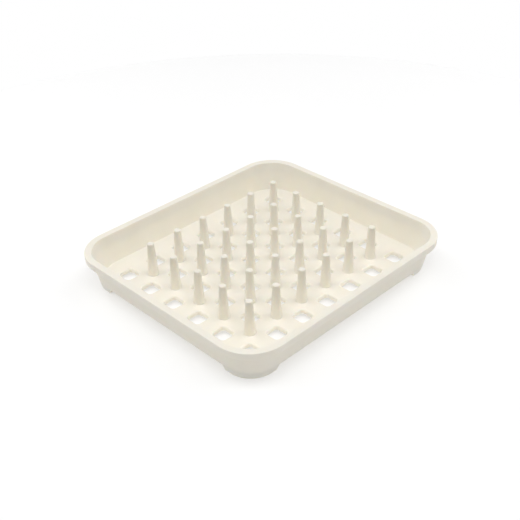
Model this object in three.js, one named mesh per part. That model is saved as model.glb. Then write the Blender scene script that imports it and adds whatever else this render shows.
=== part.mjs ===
// Pegged draining tray for fresh cheese: a perforated floor with standing pegs, a low sloping wall,
// a thick rim and four corner feet. Millimetres, +Z up, origin under the middle of the tray at the
// level of the surface that it stands on. X is the long side, and the front is -Y.

import * as THREE from 'three';

// Driving dimensions
const TRAY_LENGTH = 182.8;
const TRAY_WIDTH = 163.0;
const RIM_HEIGHT = 24.2; // top of the rim above the table
const RIM_WIDTH = 4.6; // flat top of the rim
const LIP_DEPTH = 5.0; // height of the rim's outer face
const CORNER = 24.6; // distance from the outer edges to the centre of the outer corner arcs
const FLOOR_TOP = 5.3;
const FLOOR_BOTTOM = 2.4;
const FLOOR_INSET = 8.5; // from the rim's outer edge to where the wall meets the floor
const FLOOR_CORNER = 29.3; // distance from the outer edges to the centre of the floor's corner arcs
const FLANGE_WIDTH = 2.5; // strip of floor that belongs to the wall's turned-in base
const PITCH = 22.0; // peg to peg, and hole to hole, both ways
const PEG_COLUMNS = 6;
const PEG_ROWS = 5;
const PEG_HEIGHT = 23.2;
const PEG_BASE_RADIUS = 3.5;
const PEG_TIP_RADIUS = 2.2;
const HOLE_SIDE = 9.5;
const HOLE_CORNER = 2.0;
const FOOT_INSET = 8.0; // of the foot's outer edge at the table
const FOOT_WIDTH = 4.5;
const FOOT_REACH = 3.5; // how far a foot runs past its corner's arc at each end, at the table
const FOOT_SPLAY = 1.0; // how much further it reaches where it meets the wall
const WALL_TOP_INSET = 3.9; // of the wall's outer face, under the rim
const BASE_FILLET = 2.3; // round from the wall's outer face to the underside

// Facets
const ARC_STEPS = 12;
const HOLE_ARC_STEPS = 3;
const PEG_SIDES = 18;
const FILLET_STEPS = 4;
const EDGE = 0.5; // eased edges

const HALF_LENGTH = TRAY_LENGTH / 2;
const HALF_WIDTH = TRAY_WIDTH / 2;
const LIP_BOTTOM = RIM_HEIGHT - LIP_DEPTH;
const OUTER_DRAFT = (FOOT_INSET - WALL_TOP_INSET) / LIP_BOTTOM;
const INNER_DRAFT = (FLOOR_INSET - RIM_WIDTH) / (RIM_HEIGHT - FLOOR_TOP);
const CORNER_DRAFT = (FLOOR_CORNER - CORNER) / (RIM_HEIGHT - FLOOR_TOP);

const CREAM = 0xf2ede1;

// Moulded plastic, the same all over, with a soft satin finish.
function plastic() {
  return new THREE.MeshStandardMaterial({ color: CREAM, roughness: 0.42, metalness: 0 });
}

// A point of a cross-section: how far in from the rim's outer edge, how high, and where its
// corner arcs are centred.
function sectionPoint(inset, height, corner = CORNER) {
  return { inset, height, corner };
}

function outerFace(height) {
  return sectionPoint(WALL_TOP_INSET + (LIP_BOTTOM - height) * OUTER_DRAFT, height);
}

function innerFace(height) {
  const drop = RIM_HEIGHT - height;
  return sectionPoint(RIM_WIDTH + drop * INNER_DRAFT, height, CORNER + drop * CORNER_DRAFT);
}

// The place of a section point at a station: a quadrant of the tray, an angle within its corner,
// and how far on along the straight stretch beyond the arc.
function outlinePoint(inset, corner, quadrant, angle, onward = 0) {
  const turn = (quadrant * Math.PI) / 2 + angle;
  const sideX = quadrant === 0 || quadrant === 3 ? 1 : -1;
  const sideY = quadrant < 2 ? 1 : -1;
  const radius = corner - inset;
  const x = sideX * (HALF_LENGTH - corner) + radius * Math.cos(turn) - onward * Math.sin(turn);
  const y = sideY * (HALF_WIDTH - corner) + radius * Math.sin(turn) + onward * Math.cos(turn);
  return new THREE.Vector2(x, y);
}

function quadrantStations(quadrant) {
  const stations = [];
  for (let step = 0; step <= ARC_STEPS; step += 1) {
    stations.push({ quadrant, angle: (step / ARC_STEPS) * (Math.PI / 2) });
  }
  return stations;
}

function ringStations() {
  return [0, 1, 2, 3].flatMap(quadrantStations);
}

// How far past the end of its corner's arc a foot runs, at a height.
function footReach(height) {
  return FOOT_REACH + (height / FLOOR_BOTTOM) * FOOT_SPLAY;
}

// Carries a closed section, listed anticlockwise in (inset, height), past the stations. A station
// with a run of -1 or 1 is a foot's end, before or after its corner's arc. A ring closes on
// itself, and an open sweep is closed by its two end faces.
function sweep(section, stations, isRing) {
  const positions = [];
  for (const { quadrant, angle, run = 0 } of stations) {
    for (const { inset, height, corner } of section) {
      const place = outlinePoint(inset, corner, quadrant, angle, run * footReach(height));
      positions.push(place.x, place.y, height);
    }
  }
  const indices = [];
  const sides = section.length;
  const spans = isRing ? stations.length : stations.length - 1;
  for (let span = 0; span < spans; span += 1) {
    const here = span * sides;
    const next = ((span + 1) % stations.length) * sides;
    for (let side = 0; side < sides; side += 1) {
      const after = (side + 1) % sides;
      indices.push(here + side, here + after, next + after);
      indices.push(here + side, next + after, next + side);
    }
  }
  if (!isRing) {
    const outline = section.map(({ inset, height }) => new THREE.Vector2(inset, height));
    const last = (stations.length - 1) * sides;
    for (const [a, b, c] of THREE.ShapeUtils.triangulateShape(outline, [])) {
      indices.push(a, c, b);
      indices.push(last + a, last + b, last + c);
    }
  }
  const geometry = new THREE.BufferGeometry();
  geometry.setAttribute('position', new THREE.Float32BufferAttribute(positions, 3));
  geometry.setIndex(indices);
  return geometry;
}

// The round between the wall's outer face and the underside, from the face down to the underside.
// The wall and the feet share these points, so they meet face to face.
function baseFillet() {
  const slope = Math.atan(OUTER_DRAFT);
  const centreHeight = FLOOR_BOTTOM + BASE_FILLET;
  const centreInset = outerFace(centreHeight).inset + BASE_FILLET / Math.cos(slope);
  const points = [];
  for (let step = 0; step <= FILLET_STEPS; step += 1) {
    const angle = slope + (step / FILLET_STEPS) * (Math.PI / 2 - slope);
    const inset = centreInset - BASE_FILLET * Math.cos(angle);
    const height = centreHeight - BASE_FILLET * Math.sin(angle);
    points.push(sectionPoint(inset, height));
  }
  return points;
}

function rimGeometry() {
  const section = [
    sectionPoint(EDGE, LIP_BOTTOM),
    outerFace(LIP_BOTTOM),
    innerFace(LIP_BOTTOM),
    innerFace(RIM_HEIGHT - EDGE),
    sectionPoint(RIM_WIDTH - EDGE, RIM_HEIGHT),
    sectionPoint(EDGE, RIM_HEIGHT),
    sectionPoint(0, RIM_HEIGHT - EDGE),
    sectionPoint(EDGE / 2, LIP_BOTTOM + EDGE),
  ];
  return sweep(section, ringStations(), true);
}

function wallGeometry() {
  const flange = FLOOR_INSET + FLANGE_WIDTH;
  const section = [
    ...baseFillet(),
    sectionPoint(flange, FLOOR_BOTTOM, FLOOR_CORNER),
    sectionPoint(flange, FLOOR_TOP, FLOOR_CORNER),
    innerFace(FLOOR_TOP),
    innerFace(LIP_BOTTOM),
    outerFace(LIP_BOTTOM),
  ];
  return sweep(section, ringStations(), true);
}

// A foot carries the wall's outer face on down to the table, round one corner and a little way
// along the straights on both sides of it.
function footGeometry(quadrant) {
  const stations = [
    { quadrant, angle: 0, run: -1 },
    ...quadrantStations(quadrant),
    { quadrant, angle: Math.PI / 2, run: 1 },
  ];
  const section = [
    sectionPoint(FOOT_INSET, 0),
    sectionPoint(FOOT_INSET + FOOT_WIDTH, 0),
    sectionPoint(FOOT_INSET + FOOT_WIDTH, FLOOR_BOTTOM),
    ...baseFillet().reverse(),
  ];
  return sweep(section, stations, false);
}

function roundedSquare(centreX, centreY, side, radius) {
  const reach = side / 2 - radius;
  const points = [];
  for (let quadrant = 0; quadrant < 4; quadrant += 1) {
    const sideX = quadrant === 0 || quadrant === 3 ? 1 : -1;
    const sideY = quadrant < 2 ? 1 : -1;
    for (let step = 0; step <= HOLE_ARC_STEPS; step += 1) {
      const turn = ((quadrant + step / HOLE_ARC_STEPS) * Math.PI) / 2;
      const x = centreX + sideX * reach + radius * Math.cos(turn);
      const y = centreY + sideY * reach + radius * Math.sin(turn);
      points.push(new THREE.Vector2(x, y));
    }
  }
  return points;
}

function gridPlace(index, count) {
  return (index - (count - 1) / 2) * PITCH;
}

// The holes lie half a pitch off the pegs, with one more hole than pegs each way.
function floorGeometry() {
  const inset = FLOOR_INSET + FLANGE_WIDTH;
  const outline = ringStations().map(({ quadrant, angle }) =>
    outlinePoint(inset, FLOOR_CORNER, quadrant, angle),
  );
  const shape = new THREE.Shape(outline);
  for (let row = 0; row <= PEG_ROWS; row += 1) {
    for (let column = 0; column <= PEG_COLUMNS; column += 1) {
      const x = gridPlace(column, PEG_COLUMNS + 1);
      const y = gridPlace(row, PEG_ROWS + 1);
      shape.holes.push(new THREE.Path(roundedSquare(x, y, HOLE_SIDE, HOLE_CORNER)));
    }
  }
  const depth = FLOOR_TOP - FLOOR_BOTTOM;
  return new THREE.ExtrudeGeometry(shape, { depth, bevelEnabled: false });
}

function pegGeometry() {
  const profile = [
    new THREE.Vector2(0, 0),
    new THREE.Vector2(PEG_BASE_RADIUS, 0),
    new THREE.Vector2(PEG_TIP_RADIUS, PEG_HEIGHT - EDGE),
    new THREE.Vector2(PEG_TIP_RADIUS - EDGE, PEG_HEIGHT),
    new THREE.Vector2(0, PEG_HEIGHT),
  ];
  const geometry = new THREE.LatheGeometry(profile, PEG_SIDES);
  geometry.rotateX(Math.PI / 2); // the lathe turns about Y; the peg stands along Z
  return geometry;
}

function addPart(group, name, geometry) {
  const mesh = new THREE.Mesh(geometry, plastic());
  mesh.name = name;
  group.add(mesh);
  return mesh;
}

function addPegs(group) {
  for (let row = 0; row < PEG_ROWS; row += 1) {
    for (let column = 0; column < PEG_COLUMNS; column += 1) {
      const peg = addPart(group, `peg_r${row + 1}_c${column + 1}`, pegGeometry());
      peg.position.set(gridPlace(column, PEG_COLUMNS), gridPlace(row, PEG_ROWS), FLOOR_TOP);
    }
  }
}

function addFeet(group) {
  const names = ['foot_back_right', 'foot_back_left', 'foot_front_left', 'foot_front_right'];
  names.forEach((name, quadrant) => {
    addPart(group, name, footGeometry(quadrant));
  });
}

function makeTray() {
  const tray = new THREE.Group();
  const floor = addPart(tray, 'floor_grid', floorGeometry());
  floor.position.z = FLOOR_BOTTOM;
  addPart(tray, 'side_wall', wallGeometry());
  addPart(tray, 'rim', rimGeometry());
  addFeet(tray);
  addPegs(tray);
  return tray;
}

export default makeTray();
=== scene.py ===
"""The looks of a pegged draining tray in moulded cream plastic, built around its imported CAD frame.

Metres, +Z up, the frame's origin. Every size that the frame can give is read from it. The real tray
is one moulding, so every piece has the same plastic and rides on the one body.
"""

import math

import bmesh
import bpy
from mathutils import Matrix, Vector
from mathutils.geometry import tessellate_polygon


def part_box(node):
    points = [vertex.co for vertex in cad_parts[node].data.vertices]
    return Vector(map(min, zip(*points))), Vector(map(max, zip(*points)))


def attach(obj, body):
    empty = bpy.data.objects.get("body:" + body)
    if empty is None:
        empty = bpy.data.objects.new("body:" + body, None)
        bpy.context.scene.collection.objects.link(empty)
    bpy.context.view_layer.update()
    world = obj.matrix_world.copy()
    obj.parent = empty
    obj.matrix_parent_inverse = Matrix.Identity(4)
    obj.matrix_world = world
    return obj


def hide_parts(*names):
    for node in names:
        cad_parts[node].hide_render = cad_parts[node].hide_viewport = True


MM = 0.001
BODY = "root"

# Sizes that a bounding box can't give, the same as the CAD part's
CORNER = 24.6 * MM  # from the outer edges to the centre of the outer corner arcs
RIM_WIDTH = 4.6 * MM
FLOOR_INSET = 8.5 * MM  # from the rim's outer edge to where the wall meets the floor
FLOOR_CORNER = 29.3 * MM  # from the outer edges to the centre of the floor's corner arcs
FLANGE_WIDTH = 2.5 * MM
FOOT_INSET = 8.0 * MM
FOOT_WIDTH = 4.5 * MM
FOOT_REACH = 3.5 * MM  # past the end of the corner's arc, at the table
FOOT_SPLAY = 1.0 * MM  # how much further it reaches where it meets the wall
WALL_TOP_INSET = 3.9 * MM
BASE_FILLET = 2.3 * MM
HOLE_SIDE = 9.5 * MM
HOLE_CORNER = 2.0 * MM
PEG_TIP_RADIUS = 2.2 * MM

# Rounds that the mould leaves
RIM_ROUND = 0.5 * MM
LIP_ROUND = 0.5 * MM
CREASE_ROUND = 0.35 * MM  # where the wall runs down into the floor
HOLE_TOP_ROUND = 1.2 * MM
HOLE_BOTTOM_ROUND = 0.25 * MM
FOOT_ROUND = 0.4 * MM
PEG_TIP_ROUND = 0.9 * MM
PEG_BASE_ROUND = 0.3 * MM
PEG_SINK = 0.4 * MM  # a peg's root under the floor's surface
PEG_ROOT = 0.8  # the root's radius as a share of the peg's at the floor

ARC_STEPS = 30
ROUND_STEPS = 5
FILLET_STEPS = 8
HOLE_ARC_STEPS = 8
PEG_SIDES = 48
SHARP = math.radians(38)  # steeper folds than this stay crisp

# The plastic's finish. A noise scale is in cycles per metre.
MOTTLE_SCALE = 55
MOTTLE_DARK = (0.872, 0.832, 0.736, 1)
MOTTLE_LIGHT = (0.898, 0.860, 0.768, 1)
HAZE_SCALE = 260
ROUGHNESS_RANGE = (0.36, 0.50)
GRAIN_SCALE = 1800
GRAIN_STRENGTH = 0.12
GRAIN_DEPTH = 0.04 * MM
PLASTIC_IOR = 1.49
SCATTER_WEIGHT = 0.25
SCATTER_RADIUS = (1.0, 0.8, 0.5)
SCATTER_DEPTH = 2 * MM

# The camera, as seen from the tray
AZIMUTH = math.radians(-44.40)
ELEVATION = math.radians(33.58)
ROLL = math.radians(-1.22)
DISTANCE = 0.5645
LOOK_X = 0.00297
LOOK_Y = 0.00565
FOCAL = 59.84
SENSOR = 36.0

# Studio light. A soft box is (degrees round from the camera's side, degrees up, watts).
TABLE_GLOW = 0.38  # even white emission, which keeps the table's shadows pale
SOFT_BOX_DISTANCE = 1.2
SOFT_BOX_SIZE = 1.0
TABLE_GAP = 0.05 * MM  # keeps the feet's soles out of the table's plane
BACKDROP_RADIUS = 0.4  # as far as the soft boxes keep the table white
SOFT_BOXES = {
    "overhead": (0, 90, 1.0),
    "front_top": (0, 70, 6.2),
    "front_low": (0, 30, 1.25),
    "left_high": (-90, 50, 4.4),
    "right_high": (90, 50, 4.4),
    "left_back": (-135, 20, 4.4),
    "right_back": (135, 20, 4.4),
}

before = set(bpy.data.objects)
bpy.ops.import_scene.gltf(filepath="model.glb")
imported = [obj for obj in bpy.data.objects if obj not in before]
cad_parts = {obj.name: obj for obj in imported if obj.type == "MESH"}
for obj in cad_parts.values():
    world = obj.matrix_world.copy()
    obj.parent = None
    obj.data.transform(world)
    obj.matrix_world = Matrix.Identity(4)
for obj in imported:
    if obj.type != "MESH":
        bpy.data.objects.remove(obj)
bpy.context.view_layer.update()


def peg_centre(node):
    low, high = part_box(node)
    return (low + high) / 2


class Tray:
    """The tray's levels and places, read from the CAD frame."""

    def __init__(self):
        rim_low, rim_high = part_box("rim")
        floor_low, floor_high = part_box("floor_grid")
        peg_low, peg_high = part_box("peg_r1_c1")
        self.half_length = (rim_high.x - rim_low.x) / 2
        self.half_width = (rim_high.y - rim_low.y) / 2
        self.rim_top = rim_high.z
        self.lip_bottom = rim_low.z
        self.floor_top = floor_high.z
        self.floor_bottom = floor_low.z
        self.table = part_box("foot_front_left")[0].z
        self.peg_top = peg_high.z
        self.peg_base_radius = (peg_high.y - peg_low.y) / 2
        self.pegs = sorted(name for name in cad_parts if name.startswith("peg_"))
        self.pitch = peg_centre("peg_r1_c2").x - peg_centre("peg_r1_c1").x
        # There is one more row and column of holes than of pegs.
        self.hole_rows = 1 + max(int(name.split("_")[1][1:]) for name in self.pegs)
        self.hole_columns = 1 + max(int(name.split("_")[2][1:]) for name in self.pegs)


tray = Tray()
OUTER_DRAFT = (FOOT_INSET - WALL_TOP_INSET) / (tray.lip_bottom - tray.table)
WALL_HEIGHT = tray.rim_top - tray.floor_top
INNER_DRAFT = (FLOOR_INSET - RIM_WIDTH) / WALL_HEIGHT
CORNER_DRAFT = (FLOOR_CORNER - CORNER) / WALL_HEIGHT


# Cross-sections. A point is (inset from the rim's outer edge, height, corner centre's distance).


def outer_face(height):
    return Vector((WALL_TOP_INSET + (tray.lip_bottom - height) * OUTER_DRAFT, height, CORNER))


def inner_face(height):
    drop = tray.rim_top - height
    return Vector((RIM_WIDTH + drop * INNER_DRAFT, height, CORNER + drop * CORNER_DRAFT))


def rounded(corners):
    """Rounds a closed section, given as (point, radius) pairs, with tangent arcs."""
    points = []
    for index, (here, radius) in enumerate(corners):
        if not radius:
            points.append(here)
            continue
        before = corners[index - 1][0]
        after = corners[(index + 1) % len(corners)][0]
        back = Vector((before - here).xy)
        ahead = Vector((after - here).xy)
        half = back.angle(ahead) / 2
        reach = radius / math.tan(half)
        start = here.lerp(before, reach / back.length)
        end = here.lerp(after, reach / ahead.length)
        middle = (back.normalized() + ahead.normalized()).normalized()
        centre = here.xy + middle * (radius / math.sin(half))
        first = start.xy - centre
        turn = first.angle_signed(end.xy - centre)
        for step in range(ROUND_STEPS + 1):
            share = step / ROUND_STEPS
            spoke = Matrix.Rotation(-turn * share, 2) @ first
            place = centre + spoke
            points.append(Vector((place.x, place.y, start.z + (end.z - start.z) * share)))
    return points


def base_fillet():
    """The round from the wall's outer face to the underside, shared by the wall and the feet."""
    slope = math.atan(OUTER_DRAFT)
    centre_height = tray.floor_bottom + BASE_FILLET
    centre_inset = outer_face(centre_height).x + BASE_FILLET / math.cos(slope)
    points = []
    for step in range(FILLET_STEPS + 1):
        angle = slope + step / FILLET_STEPS * (math.pi / 2 - slope)
        inset = centre_inset - BASE_FILLET * math.cos(angle)
        height = centre_height - BASE_FILLET * math.sin(angle)
        points.append(Vector((inset, height, CORNER)))
    return points


# Sweeps round the tray


def quadrant_signs(quadrant):
    return (1 if quadrant in (0, 3) else -1), (1 if quadrant < 2 else -1)


def outline_point(inset, corner, quadrant, angle, onward=0):
    """A point at an angle of a corner's arc, or onward from it along the straight."""
    side_x, side_y = quadrant_signs(quadrant)
    turn = quadrant * math.pi / 2 + angle
    radius = corner - inset
    x = side_x * (tray.half_length - corner) + radius * math.cos(turn) - onward * math.sin(turn)
    y = side_y * (tray.half_width - corner) + radius * math.sin(turn) + onward * math.cos(turn)
    return x, y


def stations(quadrants):
    quarter = math.pi / 2
    return [
        (quadrant, quarter * step / ARC_STEPS, 0)
        for quadrant in quadrants
        for step in range(ARC_STEPS + 1)
    ]


def foot_reach(height):
    """How far past its corner's arc a foot runs at a height."""
    return FOOT_REACH + (height - tray.table) / (tray.floor_bottom - tray.table) * FOOT_SPLAY


def swept(section, path, ring):
    """A bmesh of the section carried along the path: a ring, or a length with two end faces.

    A stop on the path is (quadrant, angle, run), where a run of -1 or 1 is a foot's far end.
    """
    mesh = bmesh.new()
    rows = []
    for quadrant, angle, run in path:
        row = []
        for point in section:
            x, y = outline_point(point.x, point.z, quadrant, angle, run * foot_reach(point.y))
            row.append(mesh.verts.new((x, y, point.y)))
        rows.append(row)
    spans = len(rows) if ring else len(rows) - 1
    for span in range(spans):
        here = rows[span]
        following = rows[(span + 1) % len(rows)]
        for side in range(len(section)):
            after = (side + 1) % len(section)
            mesh.faces.new((here[side], here[after], following[after], following[side]))
    if not ring:
        mesh.faces.new(list(reversed(rows[0])))
        mesh.faces.new(rows[-1])
    return mesh


# Objects


def finish_mesh(name, mesh, material):
    """Makes an object whose flat faces stay flat and whose rounds are smooth."""
    bmesh.ops.recalc_face_normals(mesh, faces=mesh.faces)
    data = bpy.data.meshes.new(name)
    mesh.to_mesh(data)
    mesh.free()
    data.shade_smooth()
    data.set_sharp_from_angle(angle=SHARP)
    piece = bpy.data.objects.new(name, data)
    bpy.context.scene.collection.objects.link(piece)
    weighted = piece.modifiers.new("weighted", "WEIGHTED_NORMAL")
    weighted.keep_sharp = True
    weighted.mode = "FACE_AREA"
    graph = bpy.context.evaluated_depsgraph_get()
    piece.data = bpy.data.meshes.new_from_object(piece.evaluated_get(graph))
    piece.modifiers.clear()
    piece.data.name = name
    piece.data.materials.clear()
    piece.data.materials.append(material)
    return piece


def stand_for(piece, node):
    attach(piece, BODY)
    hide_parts(node)


def make_rim(material):
    section = rounded([
        (Vector((LIP_ROUND / 2, tray.lip_bottom, CORNER)), LIP_ROUND),
        (outer_face(tray.lip_bottom), 0),
        (inner_face(tray.lip_bottom), 0),
        (inner_face(tray.rim_top), RIM_ROUND),
        (Vector((0, tray.rim_top, CORNER)), RIM_ROUND),
    ])
    piece = finish_mesh("rim_ring", swept(section, stations(range(4)), True), material)
    stand_for(piece, "rim")


def make_wall(material):
    flange = FLOOR_INSET + FLANGE_WIDTH
    corners = [(point, 0) for point in base_fillet()]
    corners += [
        (Vector((flange, tray.floor_bottom, FLOOR_CORNER)), 0),
        (Vector((flange, tray.floor_top, FLOOR_CORNER)), 0),
        (inner_face(tray.floor_top), CREASE_ROUND),
        (inner_face(tray.lip_bottom), 0),
        (outer_face(tray.lip_bottom), 0),
    ]
    piece = finish_mesh("wall_ring", swept(rounded(corners), stations(range(4)), True), material)
    stand_for(piece, "side_wall")


def make_foot(node, quadrant, material):
    inner = FOOT_INSET + FOOT_WIDTH
    corners = [
        (Vector((FOOT_INSET, tray.table, CORNER)), FOOT_ROUND),
        (Vector((inner, tray.table, CORNER)), FOOT_ROUND),
        (Vector((inner, tray.floor_bottom, CORNER)), 0),
    ]
    corners += [(point, 0) for point in reversed(base_fillet())]
    path = [(quadrant, 0, -1)] + stations([quadrant]) + [(quadrant, math.pi / 2, 1)]
    mesh = swept(rounded(corners), path, False)
    piece = finish_mesh(f"{node}_pad", mesh, material)
    stand_for(piece, node)


# The perforated floor


def rounded_square(centre, side, radius):
    reach = side / 2 - radius
    points = []
    for quadrant in range(4):
        side_x, side_y = quadrant_signs(quadrant)
        for step in range(HOLE_ARC_STEPS + 1):
            turn = (quadrant + step / HOLE_ARC_STEPS) * math.pi / 2
            x = centre[0] + side_x * reach + radius * math.cos(turn)
            y = centre[1] + side_y * reach + radius * math.sin(turn)
            points.append((x, y))
    return points


def hole_centres():
    for row in range(tray.hole_rows):
        for column in range(tray.hole_columns):
            x = (column - (tray.hole_columns - 1) / 2) * tray.pitch
            y = (row - (tray.hole_rows - 1) / 2) * tray.pitch
            yield x, y


def hole_levels():
    """(growth of the hole, height) pairs down its wall, with a round at each end."""
    levels = []
    for step in range(ROUND_STEPS + 1):
        angle = step / ROUND_STEPS * math.pi / 2
        growth = HOLE_TOP_ROUND * (1 - math.sin(angle))
        levels.append((growth, tray.floor_top - HOLE_TOP_ROUND * (1 - math.cos(angle))))
    for step in range(ROUND_STEPS + 1):
        angle = step / ROUND_STEPS * math.pi / 2
        growth = HOLE_BOTTOM_ROUND * (1 - math.cos(angle))
        levels.append((growth, tray.floor_bottom + HOLE_BOTTOM_ROUND * (1 - math.sin(angle))))
    return levels


def bridge(mesh, upper, lower):
    for side in range(len(upper)):
        after = (side + 1) % len(upper)
        mesh.faces.new((upper[side], upper[after], lower[after], lower[side]))


def close_plane(mesh, loops):
    """Fills the flat face between the outer loop and the holes' loops."""
    flat = [vertex for loop in loops for vertex in loop]
    outlines = [[vertex.co.copy() for vertex in loop] for loop in loops]
    for triangle in tessellate_polygon(outlines):
        mesh.faces.new([flat[index] for index in triangle])


def make_floor(material):
    mesh = bmesh.new()
    edge = [
        outline_point(FLOOR_INSET + FLANGE_WIDTH, FLOOR_CORNER, quadrant, angle)
        for quadrant, angle, _ in stations(range(4))
    ]
    top_edge = [mesh.verts.new((x, y, tray.floor_top)) for x, y in edge]
    bottom_edge = [mesh.verts.new((x, y, tray.floor_bottom)) for x, y in edge]
    bridge(mesh, top_edge, bottom_edge)
    top_loops, bottom_loops = [top_edge], [bottom_edge]
    for centre in hole_centres():
        rings = []
        for growth, height in hole_levels():
            outline = rounded_square(centre, HOLE_SIDE + 2 * growth, HOLE_CORNER + growth)
            rings.append([mesh.verts.new((x, y, height)) for x, y in outline])
        for upper, lower in zip(rings, rings[1:]):
            bridge(mesh, upper, lower)
        top_loops.append(rings[0])
        bottom_loops.append(rings[-1])
    close_plane(mesh, top_loops)
    close_plane(mesh, bottom_loops)
    piece = finish_mesh("perforated_floor", mesh, material)
    stand_for(piece, "floor_grid")


# Pegs


def peg_profile():
    """(radius, height) up the peg's side, from just under the floor's surface to its flat top."""
    height = tray.peg_top - tray.floor_top
    slope = math.atan((tray.peg_base_radius - PEG_TIP_RADIUS) / height)
    points = [(tray.peg_base_radius * PEG_ROOT, -PEG_SINK)]
    turn = math.pi / 2 - slope
    spread = PEG_BASE_ROUND * math.tan(turn / 2)
    for step in range(ROUND_STEPS + 1):
        angle = step / ROUND_STEPS * turn
        radius = tray.peg_base_radius + spread - PEG_BASE_ROUND * math.sin(angle)
        points.append((radius, PEG_BASE_ROUND * (1 - math.cos(angle))))
    reach = PEG_TIP_ROUND * math.tan(turn / 2)
    for step in range(ROUND_STEPS + 1):
        angle = slope + step / ROUND_STEPS * turn
        radius = PEG_TIP_RADIUS - reach + PEG_TIP_ROUND * math.cos(angle)
        points.append((radius, height - PEG_TIP_ROUND * (1 - math.sin(angle))))
    return points


def make_peg(node, profile, material):
    centre = peg_centre(node)
    mesh = bmesh.new()
    rings = []
    for radius, height in profile:
        ring = []
        for side in range(PEG_SIDES):
            turn = 2 * math.pi * side / PEG_SIDES
            x = centre.x + radius * math.cos(turn)
            y = centre.y + radius * math.sin(turn)
            ring.append(mesh.verts.new((x, y, tray.floor_top + height)))
        rings.append(ring)
    for lower, upper in zip(rings, rings[1:]):
        bridge(mesh, lower, upper)
    mesh.faces.new(rings[0])
    mesh.faces.new(rings[-1])
    piece = finish_mesh(f"{node}_moulded", mesh, material)
    stand_for(piece, node)


# Materials


def node_material(name):
    material = bpy.data.materials.new(name)
    material.use_nodes = True
    nodes = material.node_tree.nodes
    return material, nodes, material.node_tree.links, nodes["Principled BSDF"]


def noise(nodes, links, coordinates, scale, detail):
    texture = nodes.new("ShaderNodeTexNoise")
    texture.inputs["Scale"].default_value = scale
    texture.inputs["Detail"].default_value = detail
    links.new(coordinates.outputs["Object"], texture.inputs["Vector"])
    return texture


def cream_plastic():
    """Moulded polypropylene: cream, satin, faintly mottled and faintly translucent."""
    material, nodes, links, shader = node_material("cream_moulded_plastic")
    coordinates = nodes.new("ShaderNodeTexCoord")

    mottle = noise(nodes, links, coordinates, MOTTLE_SCALE, 3)
    colour = nodes.new("ShaderNodeValToRGB")
    colour.color_ramp.elements[0].position = 0.3
    colour.color_ramp.elements[0].color = MOTTLE_DARK
    colour.color_ramp.elements[1].position = 0.7
    colour.color_ramp.elements[1].color = MOTTLE_LIGHT
    links.new(mottle.outputs["Fac"], colour.inputs["Fac"])
    links.new(colour.outputs["Color"], shader.inputs["Base Color"])

    haze = noise(nodes, links, coordinates, HAZE_SCALE, 4)
    gloss = nodes.new("ShaderNodeMapRange")
    gloss.inputs["To Min"].default_value = ROUGHNESS_RANGE[0]
    gloss.inputs["To Max"].default_value = ROUGHNESS_RANGE[1]
    links.new(haze.outputs["Fac"], gloss.inputs["Value"])
    links.new(gloss.outputs["Result"], shader.inputs["Roughness"])

    grain = noise(nodes, links, coordinates, GRAIN_SCALE, 3)
    bump = nodes.new("ShaderNodeBump")
    bump.inputs["Strength"].default_value = GRAIN_STRENGTH
    bump.inputs["Distance"].default_value = GRAIN_DEPTH
    links.new(grain.outputs["Fac"], bump.inputs["Height"])
    links.new(bump.outputs["Normal"], shader.inputs["Normal"])

    shader.inputs["IOR"].default_value = PLASTIC_IOR
    shader.inputs["Subsurface Weight"].default_value = SCATTER_WEIGHT
    shader.inputs["Subsurface Radius"].default_value = SCATTER_RADIUS
    shader.inputs["Subsurface Scale"].default_value = SCATTER_DEPTH
    return material


def white_table():
    """A pale, evenly and faintly backlit tabletop."""
    material, nodes, links, shader = node_material("white_table")
    coordinates = nodes.new("ShaderNodeTexCoord")
    tone = noise(nodes, links, coordinates, 3, 2)
    colour = nodes.new("ShaderNodeValToRGB")
    colour.color_ramp.elements[0].color = (0.62, 0.62, 0.62, 1)
    colour.color_ramp.elements[1].color = (0.64, 0.64, 0.64, 1)
    links.new(tone.outputs["Fac"], colour.inputs["Fac"])
    links.new(colour.outputs["Color"], shader.inputs["Base Color"])
    shader.inputs["Emission Color"].default_value = (1, 1, 1, 1)
    shader.inputs["Emission Strength"].default_value = TABLE_GLOW
    shader.inputs["Roughness"].default_value = 0.9
    shader.inputs["Specular IOR Level"].default_value = 0.1
    return material


# Camera, light and floor


def view_axes():
    """The camera's right, up and backward directions."""
    back = Vector((
        math.sin(AZIMUTH) * math.cos(ELEVATION),
        -math.cos(AZIMUTH) * math.cos(ELEVATION),
        math.sin(ELEVATION),
    ))
    level = Vector((math.cos(AZIMUTH), math.sin(AZIMUTH), 0))
    upright = back.cross(level)
    right = level * math.cos(ROLL) + upright * math.sin(ROLL)
    up = upright * math.cos(ROLL) - level * math.sin(ROLL)
    return right, up, back


def place(thing, position, right, up, back):
    axes = Matrix((right, up, back)).transposed().to_4x4()
    thing.matrix_world = Matrix.Translation(position) @ axes


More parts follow.
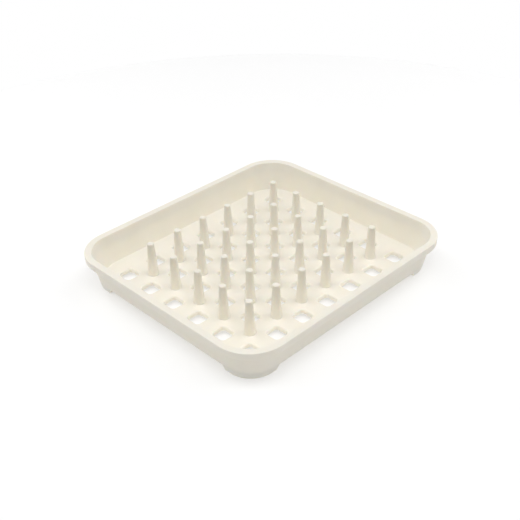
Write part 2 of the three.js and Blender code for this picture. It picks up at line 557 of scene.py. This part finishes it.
def make_camera():
    data = bpy.data.cameras.new("camera")
    data.sensor_width = SENSOR
    data.lens = FOCAL
    data.clip_start = 0.01
    camera = bpy.data.objects.new("camera", data)
    bpy.context.scene.collection.objects.link(camera)
    right, up, back = view_axes()
    look = Vector((LOOK_X, LOOK_Y, tray.floor_top))
    place(camera, look + back * DISTANCE, right, up, back)
    bpy.context.scene.camera = camera


def area_light(name, direction, distance, size, energy):
    data = bpy.data.lights.new(name, "AREA")
    data.shape = "DISK"
    data.size = size
    data.energy = energy
    light = bpy.data.objects.new(name, data)
    bpy.context.scene.collection.objects.link(light)
    back = Vector(direction).normalized()
    light.matrix_world = (
        Matrix.Translation(back * distance) @ back.to_track_quat("Z", "Y").to_matrix().to_4x4()
    )


def make_lights():
    """Soft boxes round the tray, each aimed at it, turned from the camera's side by its angle."""
    for name, (turn, rise, watts) in SOFT_BOXES.items():
        azimuth = AZIMUTH + math.radians(turn)
        elevation = math.radians(rise)
        direction = Vector((
            math.sin(azimuth) * math.cos(elevation),
            -math.cos(azimuth) * math.cos(elevation),
            math.sin(elevation),
        ))
        area_light(name, direction, SOFT_BOX_DISTANCE, SOFT_BOX_SIZE, watts)


def make_white_surround():
    """White beyond the table for the camera alone, so that it sheds no light on the tray."""
    world = bpy.data.worlds.new("white_surround")
    world.use_nodes = True
    world.node_tree.nodes["Background"].inputs["Color"].default_value = (1, 1, 1, 1)
    world.cycles_visibility.diffuse = False
    world.cycles_visibility.glossy = False
    world.cycles_visibility.transmission = False
    world.cycles_visibility.scatter = False
    bpy.context.scene.world = world


def make_backdrop():
    mesh = bmesh.new()
    bmesh.ops.create_circle(mesh, cap_ends=True, segments=96, radius=BACKDROP_RADIUS)
    bmesh.ops.translate(mesh, verts=mesh.verts, vec=(0, 0, tray.table - TABLE_GAP))
    backdrop = finish_mesh("studio_floor", mesh, white_table())


def make_tray():
    plastic = cream_plastic()
    make_floor(plastic)
    make_wall(plastic)
    make_rim(plastic)
    feet = ["foot_back_right", "foot_back_left", "foot_front_left", "foot_front_right"]
    for quadrant, node in enumerate(feet):
        make_foot(node, quadrant, plastic)
    profile = peg_profile()
    for node in tray.pegs:
        make_peg(node, profile, plastic)


make_camera()
make_lights()
make_white_surround()
make_backdrop()
make_tray()
bpy.context.scene.view_settings.view_transform = "Standard"
